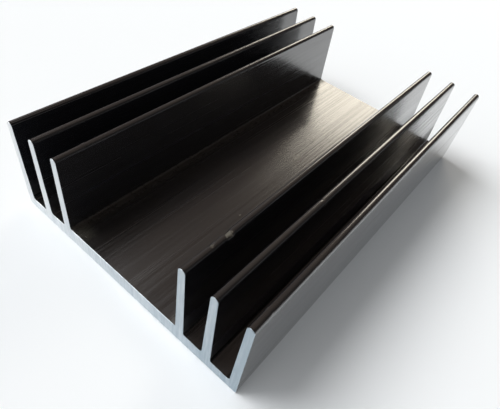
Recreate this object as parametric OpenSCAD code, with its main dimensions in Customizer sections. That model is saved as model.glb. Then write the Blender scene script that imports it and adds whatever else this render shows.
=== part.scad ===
// Extruded heat sink. One aluminium bar pressed through a die: a flat base with a wide
// channel for the device down its middle and three upright fins along each long edge,
// sawn square to length. The base steps thinner towards its edges, and the fins taper.

/* [Bar] */
// Length of the piece sawn off the bar
sink_l = 101; // [20:1:300]
// Height from the underside to the fin tips
sink_h = 23.9; // [12:0.1:45]
// Rounding of the two long bottom edges
foot_r = 0.5; // [0.1:0.1:1]

/* [Base thickness] */
// Under the device channel
channel_t = 4; // [3.5:0.1:6]
// Under the middle of the gap between the inner and the middle fin
inner_gap_t = 3.3; // [2.6:0.1:4]
// Under the middle of the gap between the middle and the outer fin
outer_gap_t = 2.6; // [1.8:0.1:3.3]
// Fall of each gap's floor towards the outside, in degrees
gap_fall = 3.3; // [0:0.1:6]

/* [Fins] */
// Middle of the heat sink to the middle of the inner fin
inner_fin_x = 17.8; // [10:0.1:40]
// Inner fin to middle fin, between the middles of their tips
middle_pitch = 7.45; // [6:0.05:10]
// Middle fin to outer fin, between the middles of their tips
outer_pitch = 7.6; // [6:0.05:10]
// Radius of the full round on every fin tip
tip_r = 0.85; // [0.4:0.05:1]
// Draft of both faces of the inner fin, in degrees
inner_draft = 0.75; // [0:0.05:1.5]
// Draft of the middle fin's inward face; its outward face is upright
middle_draft = 1.7; // [0:0.1:4]
// Draft of the outer fin's inward face
outer_draft = 2.6; // [0:0.1:5]
// Lean of the outer fin's outward face, outwards from the upright
outer_lean = 1.65; // [0:0.05:3]

/* [Roots] */
// Fillet where the inner fin meets the device channel
channel_fillet = 0.4; // [0.1:0.1:1]
// Fillet in a gap, at the foot of a fin's outward face
outward_fillet = 0.5; // [0.1:0.1:1]
// Fillet in a gap, at the foot of a fin's inward face
inward_fillet = 0.9; // [0.1:0.1:1.5]

/* [Hidden] */
anodised_black = [0.06, 0.06, 0.07];
tip_steps = 16;
fillet_steps = 6;

middle_fin_x = inner_fin_x + middle_pitch;
outer_fin_x = middle_fin_x + outer_pitch;
tip_z = sink_h - tip_r;

// A straight line is [a point on it, its direction in degrees from +X].
function along(angle) = [cos(angle), sin(angle)];
function cross2(a, b) = a[0] * b[1] - a[1] * b[0];
function meet(p, q) =
    let (d = along(p[1]), e = along(q[1]))
    p[0] + d * cross2(q[0] - p[0], e) / cross2(d, e);

// Points of an arc, from one angle to the other
function arc(centre, r, from, to, steps) =
    [for (i = [0:steps]) centre + r * along(from + (to - from) * i / steps)];

// The corner where the outline leaves line p for line q, rounded to radius r
function rounded(p, q, r) =
    let (
        turn = q[1] - p[1],
        side = sign(turn) * 90,
        start = meet(p, q) - along(p[1]) * r * tan(abs(turn) / 2),
        centre = start + r * along(p[1] + side)
    )
    arc(centre, r, p[1] - side, q[1] - side, fillet_steps);

// A fin of the right half: the outline runs up its outward face, over its round tip and
// down its inward face. Both faces touch the tip round.
function outward_face(x, draft) = [[x, tip_z] + tip_r * along(draft), 90 + draft];
function inward_face(x, draft) = [[x, tip_z] + tip_r * along(180 - draft), 270 - draft];
function tip(x, outward_draft, inward_draft) =
    arc([x, tip_z], tip_r, outward_draft, 180 - inward_draft, tip_steps);

// Flat stretches of the base: the underside runs outwards and the floors run inwards.
underside = [[0, 0], 0];
outer_gap = [[(middle_fin_x + outer_fin_x) / 2, outer_gap_t], 180 - gap_fall];
inner_gap = [[(inner_fin_x + middle_fin_x) / 2, inner_gap_t], 180 - gap_fall];
channel = [[0, channel_t], 180];

outer_out = outward_face(outer_fin_x, -outer_lean);
outer_in = inward_face(outer_fin_x, outer_draft);
middle_out = outward_face(middle_fin_x, 0);
middle_in = inward_face(middle_fin_x, middle_draft);
inner_out = outward_face(inner_fin_x, inner_draft);
inner_in = inward_face(inner_fin_x, inner_draft);

right_half = concat(
    rounded(underside, outer_out, foot_r),
    tip(outer_fin_x, -outer_lean, outer_draft),
    rounded(outer_in, outer_gap, inward_fillet),
    rounded(outer_gap, middle_out, outward_fillet),
    tip(middle_fin_x, 0, middle_draft),
    rounded(middle_in, inner_gap, inward_fillet),
    rounded(inner_gap, inner_out, outward_fillet),
    tip(inner_fin_x, inner_draft, inner_draft),
    rounded(inner_in, channel, channel_fillet)
);
left_half = [for (i = [len(right_half) - 1:-1:0]) [-right_half[i][0], right_half[i][1]]];

module section() {
    polygon(concat(right_half, left_half));
}

module heat_sink() {
    color(anodised_black)
    translate([0, sink_l / 2, 0])
    rotate([90, 0, 0])
    linear_extrude(height = sink_l)
    section();
}

heat_sink();
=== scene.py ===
import math

import bpy
from mathutils import Matrix, Vector


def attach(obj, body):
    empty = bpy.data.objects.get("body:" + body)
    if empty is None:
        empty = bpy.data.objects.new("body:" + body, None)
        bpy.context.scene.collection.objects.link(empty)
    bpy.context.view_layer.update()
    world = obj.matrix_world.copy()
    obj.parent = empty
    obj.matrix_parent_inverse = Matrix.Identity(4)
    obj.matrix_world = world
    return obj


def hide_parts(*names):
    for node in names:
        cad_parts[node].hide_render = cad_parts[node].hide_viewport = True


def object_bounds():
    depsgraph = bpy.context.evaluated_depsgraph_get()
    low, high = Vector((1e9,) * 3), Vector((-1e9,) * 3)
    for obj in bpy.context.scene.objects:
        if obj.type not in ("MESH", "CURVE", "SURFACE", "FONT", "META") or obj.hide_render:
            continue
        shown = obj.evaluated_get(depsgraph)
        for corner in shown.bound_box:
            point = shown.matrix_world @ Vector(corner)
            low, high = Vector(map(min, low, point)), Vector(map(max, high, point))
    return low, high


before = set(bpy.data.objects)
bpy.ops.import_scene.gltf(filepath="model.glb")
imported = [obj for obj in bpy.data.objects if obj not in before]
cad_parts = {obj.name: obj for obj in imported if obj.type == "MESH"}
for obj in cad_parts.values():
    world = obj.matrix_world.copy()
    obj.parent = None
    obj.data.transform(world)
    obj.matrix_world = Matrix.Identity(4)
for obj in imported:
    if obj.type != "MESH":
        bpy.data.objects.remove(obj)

solid_low, solid_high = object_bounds()
mm = 0.001


# Extruded bar
# The whole heat sink is one length of aluminium: a foot, an open channel and three fins on each side.
# It is pushed hot through a die, stretched straight, anodised black as a long bar and sawn to length,
# so its sides carry a black skin with fine lines along them, and its two sawn ends are bare metal.

cut_edge = 0.1 * mm
cut_edge_steps = 3
upper_strip = 22.2 * mm
crown_depth = 0.5 * mm
fin_half_width = 1.3 * mm
flank_angle = math.radians(35)
same_plane_angle = math.radians(0.1)
same_point = 0.001 * mm
touching = 0.01 * mm
tip_height = solid_high.z


def pick(piece, kind, wanted):
    """Selects the vertices, edges or faces that are wanted, in edit mode."""
    bpy.ops.object.mode_set(mode="EDIT")
    bpy.ops.mesh.select_mode(type=kind)
    bpy.ops.mesh.select_all(action="DESELECT")
    bpy.ops.object.mode_set(mode="OBJECT")
    parts = {
        "VERT": piece.data.vertices,
        "EDGE": piece.data.edges,
        "FACE": piece.data.polygons,
    }
    for part in parts[kind]:
        part.select = wanted(part)
    bpy.ops.object.mode_set(mode="EDIT")


bpy.ops.object.select_all(action="DESELECT")
bar = bpy.data.objects.new("extruded_bar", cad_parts["heat_sink"].data.copy())
bpy.context.collection.objects.link(bar)
bpy.context.view_layer.objects.active = bar
bar.select_set(True)

# The flat faces become whole again, and the two sawn rims are eased by a tenth of a millimetre.
bpy.ops.object.mode_set(mode="EDIT")
bpy.ops.mesh.select_all(action="SELECT")
bpy.ops.mesh.remove_doubles(threshold=same_point)
bpy.ops.mesh.dissolve_limited(angle_limit=same_plane_angle)
bpy.ops.object.mode_set(mode="OBJECT")


def on_a_rim(edge):
    """True where both ends of an edge lie on the same sawn end."""
    first, second = (bar.data.vertices[i].co.y for i in edge.vertices)
    return min(abs(first), abs(second)) > solid_high.y - touching and first * second > 0


pick(bar, "EDGE", on_a_rim)
bpy.ops.mesh.bevel(offset=cut_edge, segments=cut_edge_steps, affect="EDGES")

# Knocks along the fin tips, where the soft metal is pushed aside. Each row holds the fin, the place along
# the bar, the reach and the push, in millimetres.
bpy.ops.mesh.select_all(action="SELECT")
bpy.ops.mesh.bisect(plane_co=(0, 0, upper_strip), plane_no=(0, 0, 1))

knock_cuts = (-1.0, -0.6, -0.25, 0.0, 0.25, 0.6, 1.0)
knock_middle = 0.3
knocks = [
    (17.8, -39.3, 1.2, (0.34, 0.0, -0.02)),
    (17.8, -43.4, 0.7, (0.10, 0.0, -0.06)),
    (25.25, -19.5, 0.6, (0.14, 0.0, 0.0)),
    (32.85, -45.8, 0.6, (-0.10, 0.0, 0.0)),
    (-17.8, -43.5, 0.6, (-0.12, 0.0, 0.0)),
]
for fin_x, knock_y, reach, push in knocks:
    for step in knock_cuts:
        cut_y = (knock_y + step * reach) * mm

        def near_tip(face):
            """True on the upper strip of this fin where the cut crosses it."""
            rows = [bar.data.vertices[i].co for i in face.vertices]
            across = all(abs(co.x - fin_x * mm) < fin_half_width for co in rows)
            above = all(co.z > upper_strip - touching for co in rows)
            return across and above and min(co.y for co in rows) < cut_y < max(co.y for co in rows)

        pick(bar, "FACE", near_tip)
        bpy.ops.mesh.bisect(plane_co=(0, cut_y, 0), plane_no=(0, 1, 0))

    def struck(vertex):
        """True on the crown of the tip in the middle of the knock."""
        beside = abs(vertex.co.x - fin_x * mm) < fin_half_width
        along = abs(vertex.co.y - knock_y * mm) < knock_middle * reach * mm
        return beside and along and vertex.co.z > tip_height - crown_depth

    pick(bar, "VERT", struck)
    bpy.ops.transform.translate(
        value=[shift * mm for shift in push],
        use_proportional_edit=True,
        use_proportional_connected=True,
        proportional_edit_falloff="SMOOTH",
        proportional_size=reach * mm,
    )

bpy.ops.object.mode_set(mode="OBJECT")
bpy.ops.object.shade_smooth_by_angle(angle=flank_angle)
bpy.ops.object.modifier_add(type="WEIGHTED_NORMAL")
bar.modifiers[-1].keep_sharp = True
bpy.ops.object.modifier_apply(modifier=bar.modifiers[-1].name)


def add(tree, kind, **settings):
    """Adds a shader node and sets its properties by name."""
    made = tree.nodes.new(kind)
    for name, value in settings.items():
        setattr(made, name, value)
    return made


def feed(tree, target, socket, source):
    """Joins an output to an input, or writes a plain value into it."""
    if isinstance(source, bpy.types.NodeSocket):
        tree.links.new(source, target.inputs[socket])
    else:
        target.inputs[socket].default_value = source


def maths(tree, operation, *values):
    """Adds a Math node and returns its value."""
    made = add(tree, "ShaderNodeMath", operation=operation)
    for place, value in enumerate(values):
        feed(tree, made, place, value)
    return made.outputs[0]


def spread(tree, value, low, high, to_low=0.0, to_high=1.0, smooth=True):
    """Adds a Map Range node that stretches low..high to the new limits."""
    made = add(tree, "ShaderNodeMapRange")
    made.interpolation_type = "SMOOTHSTEP" if smooth else "LINEAR"
    for place, number in enumerate((value, low, high, to_low, to_high)):
        feed(tree, made, place, number)
    return made.outputs[0]


def blend_colours(tree, share, first, second):
    """Adds a colour Mix node and returns its colour."""
    made = add(tree, "ShaderNodeMix", data_type="RGBA")
    feed(tree, made, 0, share)
    feed(tree, made, 6, first)
    feed(tree, made, 7, second)
    return made.outputs[2]


def new_group(name, inputs, outputs):
    """Makes a shader node group with named sockets, and returns it with its two end nodes."""
    group = bpy.data.node_groups.new(name, "ShaderNodeTree")
    for label, kind, value in inputs:
        socket = group.interface.new_socket(label, in_out="INPUT", socket_type=kind)
        if value is not None:
            socket.default_value = value
    for label, kind in outputs:
        group.interface.new_socket(label, in_out="OUTPUT", socket_type=kind)
    return group, group.nodes.new("NodeGroupInput"), group.nodes.new("NodeGroupOutput")


def use_group(tree, group, **values):
    """Places a node group in a material and sets its inputs, whose spaces are written as underscores."""
    made = add(tree, "ShaderNodeGroup", node_tree=group)
    for name, value in values.items():
        feed(tree, made, name.replace("_", " "), value)
    return made.outputs


# Lines that the die leaves: long streaks along the bar, fine across it.
die_lines, ends, result = new_group(
    "die_lines",
    [
        ("Place", "NodeSocketVector", None),
        ("Width", "NodeSocketFloat", 0.5 * mm),
        ("Length", "NodeSocketFloat", 30 * mm),
    ],
    [("Lines", "NodeSocketFloat")],
)
across = maths(die_lines, "DIVIDE", 1.0, ends.outputs["Width"])
along = maths(die_lines, "DIVIDE", 1.0, ends.outputs["Length"])
stretch = add(die_lines, "ShaderNodeCombineXYZ")
feed(die_lines, stretch, 0, across)
feed(die_lines, stretch, 1, along)
feed(die_lines, stretch, 2, across)
drawn = add(die_lines, "ShaderNodeVectorMath", operation="MULTIPLY")
feed(die_lines, drawn, 0, ends.outputs["Place"])
feed(die_lines, drawn, 1, stretch.outputs[0])
streaks = add(die_lines, "ShaderNodeTexNoise")
feed(die_lines, streaks, "Vector", drawn.outputs[0])
feed(die_lines, streaks, "Scale", 1.0)
feed(die_lines, streaks, "Detail", 3.0)
feed(die_lines, streaks, "Roughness", 0.65)
feed(die_lines, result, "Lines", spread(die_lines, streaks.outputs[0], 0.34, 0.66, smooth=False))

# A place where the skin is rubbed or chipped: a ragged spot round a point.
chips_per_metre = 2500.0
worn_spot, ends, result = new_group(
    "worn_spot",
    [
        ("Place", "NodeSocketVector", None),
        ("Centre", "NodeSocketVector", None),
        ("Stretch", "NodeSocketVector", (1.0, 1.0, 1.0)),
        ("Radius", "NodeSocketFloat", 1 * mm),
        ("Raggedness", "NodeSocketFloat", 0.5),
    ],
    [("Mask", "NodeSocketFloat")],
)
from_centre = add(worn_spot, "ShaderNodeVectorMath", operation="SUBTRACT")
feed(worn_spot, from_centre, 0, ends.outputs["Place"])
feed(worn_spot, from_centre, 1, ends.outputs["Centre"])
squeezed = add(worn_spot, "ShaderNodeVectorMath", operation="DIVIDE")
feed(worn_spot, squeezed, 0, from_centre.outputs[0])
feed(worn_spot, squeezed, 1, ends.outputs["Stretch"])
distance = add(worn_spot, "ShaderNodeVectorMath", operation="LENGTH")
feed(worn_spot, distance, 0, squeezed.outputs[0])
in_radii = maths(worn_spot, "DIVIDE", distance.outputs["Value"], ends.outputs["Radius"])
chips = add(worn_spot, "ShaderNodeTexNoise")
feed(worn_spot, chips, "Vector", ends.outputs["Place"])
feed(worn_spot, chips, "Scale", chips_per_metre)
feed(worn_spot, chips, "Detail", 3.0)
uneven = maths(worn_spot, "MULTIPLY", maths(worn_spot, "SUBTRACT", chips.outputs[0], 0.5), 2.0)
shifted = maths(worn_spot, "MULTIPLY_ADD", uneven, ends.outputs["Raggedness"], in_radii)
feed(worn_spot, result, "Mask", spread(worn_spot, shifted, 1.0, 0.6))

# Dust that settles on whatever faces up: a few pale specks, far apart.
settled_dust, ends, result = new_group(
    "settled_dust",
    [
        ("Place", "NodeSocketVector", None),
        ("Facing Up", "NodeSocketFloat", 1.0),
        ("Spacing", "NodeSocketFloat", 4 * mm),
        ("Speck Size", "NodeSocketFloat", 0.1 * mm),
    ],
    [("Mask", "NodeSocketFloat")],
)
cells = add(settled_dust, "ShaderNodeTexVoronoi")
feed(settled_dust, cells, "Vector", ends.outputs["Place"])
feed(settled_dust, cells, "Scale", maths(settled_dust, "DIVIDE", 1.0, ends.outputs["Spacing"]))
how_far = maths(settled_dust, "MULTIPLY", cells.outputs["Distance"], ends.outputs["Spacing"])
picked = add(settled_dust, "ShaderNodeSeparateColor")
feed(settled_dust, picked, 0, cells.outputs["Color"])
own_size = maths(settled_dust, "MULTIPLY", ends.outputs["Speck Size"], picked.outputs[0])
speck = maths(settled_dust, "LESS_THAN", how_far, own_size)
lying = spread(settled_dust, ends.outputs["Facing Up"], 0.3, 0.9)
feed(settled_dust, result, "Mask", maths(settled_dust, "MULTIPLY", speck, lying))

# Grime in the corners: what gathers at the roots of the fins and on the narrow floors between them.
corner_width = 2.0 * mm
outermost_root = 32.5 * mm
lowest_floor = 3.6 * mm
corner_grime, ends, result = new_group(
    "corner_grime",
    [
        ("Place", "NodeSocketVector", None),
        ("Half Width", "NodeSocketFloat", 15.6 * mm),
        ("Height", "NodeSocketFloat", 5.2 * mm),
        ("Fade", "NodeSocketFloat", 1.2 * mm),
        ("Patch Size", "NodeSocketFloat", 3 * mm),
    ],
    [("Mask", "NodeSocketFloat")],
)
sides = add(corner_grime, "ShaderNodeSeparateXYZ")
feed(corner_grime, sides, 0, ends.outputs["Place"])
from_middle = maths(corner_grime, "ABSOLUTE", sides.outputs[0])
inward = maths(corner_grime, "SUBTRACT", ends.outputs["Half Width"], corner_width)
in_corner = spread(corner_grime, from_middle, inward, ends.outputs["Half Width"])
inside_fins = maths(corner_grime, "LESS_THAN", from_middle, outermost_root)
in_corner = maths(corner_grime, "MULTIPLY", in_corner, inside_fins)
fade_from = maths(corner_grime, "SUBTRACT", ends.outputs["Height"], ends.outputs["Fade"])
low_down = spread(corner_grime, sides.outputs[2], ends.outputs["Height"], fade_from)
on_top = maths(corner_grime, "GREATER_THAN", sides.outputs[2], lowest_floor)
patches = add(corner_grime, "ShaderNodeTexNoise")
feed(corner_grime, patches, "Vector", ends.outputs["Place"])
feed(corner_grime, patches, "Scale", maths(corner_grime, "DIVIDE", 1.0, ends.outputs["Patch Size"]))
feed(corner_grime, patches, "Detail", 5.0)
feed(corner_grime, patches, "Roughness", 0.7)
thick = spread(corner_grime, patches.outputs[0], 0.3, 0.7, 0.5, 1.0)
held = maths(corner_grime, "MULTIPLY", maths(corner_grime, "MULTIPLY", in_corner, low_down), on_top)
feed(corner_grime, result, "Mask", maths(corner_grime, "MULTIPLY", held, thick))


def new_material(name):
    """Makes an empty node material and returns it with its tree, shader and object place."""
    made = bpy.data.materials.new(name)
    made.use_nodes = True
    tree = made.node_tree
    tree.nodes.clear()
    surface = add(tree, "ShaderNodeOutputMaterial")
    shader = add(tree, "ShaderNodeBsdfPrincipled")
    tree.links.new(shader.outputs[0], surface.inputs["Surface"])
    place = add(tree, "ShaderNodeTexCoord").outputs["Object"]
    return made, tree, shader, place


# The skin: dyed black and sealed, smooth enough to mirror what lies low behind it.
skin_black = (0.0062, 0.0068, 0.0095, 1.0)
skin_brown = (0.0155, 0.0132, 0.0118, 1.0)
scuff_grey = (0.15, 0.14, 0.11, 1.0)
dust_grey = (0.30, 0.28, 0.25, 1.0)
grime_brown = (0.045, 0.038, 0.030, 1.0)
line_relief = 0.04 * mm

skin, tree, shader, place = new_material("black_anodised_skin")
shader.inputs["IOR"].default_value = 1.9
shader.inputs["Coat Roughness"].default_value = 0.17
shader.inputs["Coat IOR"].default_value = 1.5
coarse = use_group(tree, die_lines, Place=place, Width=1.6 * mm, Length=160 * mm)["Lines"]
fine = use_group(tree, die_lines, Place=place, Width=0.5 * mm, Length=120 * mm)["Lines"]
clouds = add(tree, "ShaderNodeTexNoise")
feed(tree, clouds, "Vector", place)
feed(tree, clouds, "Scale", 90.0)
feed(tree, clouds, "Detail", 2.0)

# Rubbed places. Each row holds the centre, the stretch, the radius, the raggedness and the depth; the
# centre and the radius are in millimetres.
scuffs = [
    ((18.1, -39.3, 23.6), (0.8, 1.4, 0.7), 0.9, 0.7, 0.75),
    ((17.9, -43.4, 23.7), (0.8, 1.3, 0.5), 0.5, 0.8, 0.5),
    ((25.3, -19.5, 23.7), (0.8, 1.2, 0.5), 0.4, 0.8, 0.5),
    ((32.75, -45.8, 23.7), (0.8, 1.2, 0.5), 0.4, 0.8, 0.5),
    ((-17.9, -43.5, 23.7), (0.8, 1.2, 0.5), 0.3, 0.8, 0.15),
    ((6.4, -19.7, 4.0), (1.0, 1.6, 1.0), 0.26, 0.6, 0.6),
    ((-15.2, -6.3, 4.0), (1.0, 1.5, 1.0), 0.28, 0.6, 0.6),
    ((2.0, -1.6, 4.0), (1.0, 1.2, 1.0), 0.22, 0.6, 0.5),
    ((-12.6, -49.4, 4.0), (1.3, 0.8, 1.0), 0.26, 0.8, 0.6),
    ((3.2, 9.1, 4.0), (0.6, 2.0, 1.0), 1.1, 0.3, 0.6),
    ((-13.8, -48.6, 4.0), (1.7, 1.3, 1.0), 1.6, 1.8, 0.35),
]
worn = 0.0
for centre, stretch_by, radius, raggedness, depth in scuffs:
    spot = use_group(
        tree,
        worn_spot,
        Place=place,
        Centre=[c * mm for c in centre],
        Stretch=stretch_by,
        Radius=radius * mm,
        Raggedness=raggedness,
    )["Mask"]
    worn = maths(tree, "MAXIMUM", worn, maths(tree, "MULTIPLY", spot, depth))

facing = add(tree, "ShaderNodeSeparateXYZ")
feed(tree, facing, 0, add(tree, "ShaderNodeNewGeometry").outputs["Normal"])

# Thin films: specks of dust, grime in the corners, and a dull haze low in the gaps.
dust = use_group(
    tree,
    settled_dust,
    Place=place,
    Facing_Up=facing.outputs[2],
    Spacing=4 * mm,
    Speck_Size=0.12 * mm,
)["Mask"]
grime = use_group(tree, corner_grime, Place=place)["Mask"]
gap_haze = use_group(
    tree,
    corner_grime,
    Place=place,
    Half_Width=19.0 * mm,
    Height=13.0 * mm,
    Fade=7.0 * mm,
    Patch_Size=20 * mm,
)["Mask"]

# Upward faces carry a brownish film, and the lines change both the gloss and the relief.
film = spread(tree, facing.outputs[2], 0.3, 0.95, 0.2, 1.0)
cloudy_film = maths(tree, "MULTIPLY", film, spread(tree, clouds.outputs[0], 0.3, 0.7, 0.6, 1.0))
colour = blend_colours(tree, cloudy_film, skin_black, skin_brown)
colour = blend_colours(tree, maths(tree, "MULTIPLY", grime, 0.5), colour, grime_brown)
colour = blend_colours(tree, maths(tree, "MULTIPLY", worn, 0.75), colour, scuff_grey)
colour = blend_colours(tree, maths(tree, "MULTIPLY", dust, 0.35), colour, dust_grey)
feed(tree, shader, "Base Color", colour)
feed(tree, shader, "Metallic", maths(tree, "MULTIPLY", worn, 0.25))
lines = maths(tree, "ADD", maths(tree, "MULTIPLY", coarse, 0.45), maths(tree, "MULTIPLY", fine, 0.55))
sheen_of_lines = spread(tree, lines, 0.0, 1.0, 0.13, 0.30, smooth=False)
glaze = spread(tree, lines, 0.1, 0.9, 1.0, 0.85, smooth=False)
lost_glaze = maths(tree, "MAXIMUM", grime, gap_haze)
feed(tree, shader, "Coat Weight", maths(tree, "MULTIPLY", glaze, maths(tree, "SUBTRACT", 1.0, lost_glaze)))
rubbed = maths(tree, "MAXIMUM", maths(tree, "MULTIPLY", worn, 0.5), maths(tree, "MULTIPLY", dust, 0.6))
rubbed = maths(tree, "MAXIMUM", rubbed, maths(tree, "MULTIPLY", grime, 0.45))
rubbed = maths(tree, "MAXIMUM", rubbed, maths(tree, "MULTIPLY", gap_haze, 0.5))
feed(tree, shader, "Roughness", maths(tree, "MAXIMUM", sheen_of_lines, rubbed))
relief = add(tree, "ShaderNodeBump")
feed(tree, relief, "Strength", 1.0)
feed(tree, relief, "Distance", line_relief)
feed(tree, relief, "Height", lines)
feed(tree, shader, "Normal", relief.outputs[0])

# The sawn ends: bare, dull metal with fine upright saw marks, and painted shade that leaves them brighter
# to the left and darker and bluer to the right.
bare_bright = (0.80, 0.82, 0.83, 1.0)
# The darker, bluer colour on the right of the sawn ends is painted shade, not a colour of the metal.
bare_painted_shade = (0.38, 0.45, 0.50, 1.0)
saw_relief = 0.01 * mm

sawn, tree, shader, place = new_material("sawn_aluminium")
shader.inputs["Metallic"].default_value = 1.0
turned = add(tree, "ShaderNodeMapping")
feed(tree, turned, "Vector", place)
feed(tree, turned, "Rotation", (math.radians(90), 0.0, 0.0))
marks = use_group(tree, die_lines, Place=turned.outputs[0], Width=0.4 * mm, Length=6 * mm)["Lines"]
bands = use_group(tree, die_lines, Place=turned.outputs[0], Width=2.5 * mm, Length=20 * mm)["Lines"]
across_bar = add(tree, "ShaderNodeSeparateXYZ")
feed(tree, across_bar, 0, place)
# Painted shade: the share of the darker blue-grey grows from left to right across the bar, mixed with the
# saw bands and marks.
painted_shade_share = spread(tree, across_bar.outputs[0], -36 * mm, 34 * mm, smooth=False)
saw_bands_and_painted_shade = maths(tree, "MULTIPLY_ADD", maths(tree, "SUBTRACT", bands, 0.5), 0.25, painted_shade_share)
saw_bands_and_painted_shade = maths(tree, "MULTIPLY_ADD", maths(tree, "SUBTRACT", marks, 0.5), 0.2, saw_bands_and_painted_shade)
feed(tree, shader, "Base Color", blend_colours(tree, saw_bands_and_painted_shade, bare_bright, bare_painted_shade))
feed(tree, shader, "Roughness", spread(tree, marks, 0.0, 1.0, 0.36, 0.5, smooth=False))
relief = add(tree, "ShaderNodeBump")
feed(tree, relief, "Strength", 1.0)
feed(tree, relief, "Distance", saw_relief)
feed(tree, relief, "Height", marks)
feed(tree, shader, "Normal", relief.outputs[0])

# Faces at either end that look along the bar are bare, and so is the eased rim round them.
bare_lean = 0.2
bare_from = 0.99 * solid_high.y
bar.data.materials.clear()
bar.data.materials.append(skin)
bar.data.materials.append(sawn)
for face in bar.data.polygons:
    looks_along = abs(face.normal.y) > bare_lean
    at_an_end = abs(face.center.y) > bare_from
    face.material_index = 1 if looks_along and at_an_end else 0

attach(bar, "root")
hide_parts("heat_sink")


# Floor
# A plain pale table top under the part, matt and wide, a hair below it. It keeps the part's soft shadow,
# and a faint cool glow keeps its open stretches pale.

floor_colour = (0.885, 0.90, 0.91, 1.0)
glow_colour = (0.80, 0.92, 1.0, 1.0)
floor_glow = 0.08
floor_width = 6.0
floor_drop = 0.05 * mm

bpy.ops.object.select_all(action="DESELECT")
bpy.ops.mesh.primitive_plane_add(size=floor_width, location=(0, 0, -floor_drop))
floor = bpy.context.object
floor.name = "floor"
table_top = bpy.data.materials.new("pale_table_top")
table_top.use_nodes = True
tree = table_top.node_tree
tree.nodes.clear()
surface = add(tree, "ShaderNodeOutputMaterial")
matt = add(tree, "ShaderNodeBsdfDiffuse")
feed(tree, matt, "Color", floor_colour)
rays = add(tree, "ShaderNodeLightPath")
seen = maths(tree, "MAXIMUM", rays.outputs["Is Camera Ray"], rays.outputs["Is Glossy Ray"])
seen = maths(tree, "MAXIMUM", seen, rays.outputs["Is Transmission Ray"])
glow = add(tree, "ShaderNodeEmission")
feed(tree, glow, "Color", glow_colour)
feed(tree, glow, "Strength", maths(tree, "MULTIPLY", seen, floor_glow))
lit_and_glowing = add(tree, "ShaderNodeAddShader")
tree.links.new(matt.outputs[0], lit_and_glowing.inputs[0])
tree.links.new(glow.outputs[0], lit_and_glowing.inputs[1])
tree.links.new(lit_and_glowing.outputs[0], surface.inputs["Surface"])
floor.data.materials.append(table_top)


# Light
# A broad soft sun from high on the left, a low warm window far behind, and a room that is pale in front
# and dim behind, a little lighter near the horizon.

sun_heading = Vector((0.58, 0.16, -0.80))
sun_spread = math.radians(40)
sun_strength = 2.5
sun_colour = (0.98, 0.99, 1.0)
window_place = Vector((-0.364, 0.878, 0.49))
window_aim = Vector((0, 0, 0.49))
window_width = 0.49
window_height = 0.37
window_power = 2.6
window_colour = (1.0, 0.93, 0.79)
room_pale = (0.95, 0.98, 1.0, 1.0)
room_brown = (0.135, 0.106, 0.092, 1.0)
room_dark = (0.04, 0.036, 0.034, 1.0)
room_horizon = (0.36, 0.36, 0.37, 1.0)

bpy.ops.object.light_add(type="SUN")
key = bpy.context.object
key.name = "left_key"
key.rotation_euler = sun_heading.to_track_quat("-Z", "Y").to_euler()
key.data.angle = sun_spread
key.data.energy = sun_strength
key.data.color = sun_colour

bpy.ops.object.light_add(type="AREA", location=window_place)
window = bpy.context.object
window.name = "low_window"
window.rotation_euler = (window_aim - window_place).to_track_quat("-Z", "Y").to_euler()
window.data.shape = "RECTANGLE"
window.data.size = window_width
window.data.size_y = window_height
window.data.energy = window_power
window.data.color = window_colour

room = bpy.data.worlds.new("pale_room")
room.use_nodes = True
bpy.context.scene.world = room
tree = room.node_tree
tree.nodes.clear()
surface = add(tree, "ShaderNodeOutputWorld")
glow = add(tree, "ShaderNodeBackground")
direction = add(tree, "ShaderNodeSeparateXYZ")
feed(tree, direction, 0, add(tree, "ShaderNodeTexCoord").outputs["Generated"])

# The pale share is greatest in front and to the left. Behind, the room turns from brown to nearly black.
in_front = spread(tree, direction.outputs[1], -0.05, -0.45)
to_left = spread(tree, direction.outputs[0], 0.5, -0.4)
pale_share = maths(tree, "MULTIPLY", in_front, spread(tree, to_left, 0.0, 1.0, 0.3, 1.0))
to_right = spread(tree, direction.outputs[0], 0.15, 0.55)
behind = blend_colours(tree, to_right, room_brown, room_dark)
near_horizon = spread(tree, direction.outputs[2], 0.17, 0.12)
behind = blend_colours(tree, near_horizon, behind, room_horizon)
feed(tree, glow, "Color", blend_colours(tree, pale_share, behind, room_pale))
tree.links.new(glow.outputs[0], surface.inputs["Surface"])


# Camera
# It stands to the right of the near end and looks down across the channel.

camera_place = Vector((48.275, -81.276, 86.547)) * mm

bpy.ops.object.camera_add()
camera = bpy.context.object
camera.name = "camera"
right = Vector((0.76466, 0.62721, 0.14802))
down = Vector((0.52433, -0.47197, -0.70875))
forward = Vector((-0.37467, 0.61956, -0.68976))
turn = Matrix((right, -down, -forward)).transposed()
camera.matrix_world = Matrix.Translation(camera_place) @ turn.to_4x4()
camera.data.sensor_width = 36.0
camera.data.lens = 32.722
camera.data.shift_x = -0.02630
camera.data.shift_y = -0.04035
camera.data.clip_start = 0.005
camera.data.clip_end = 50.0
bpy.context.scene.camera = camera

bpy.context.scene.view_settings.view_transform = "Standard"
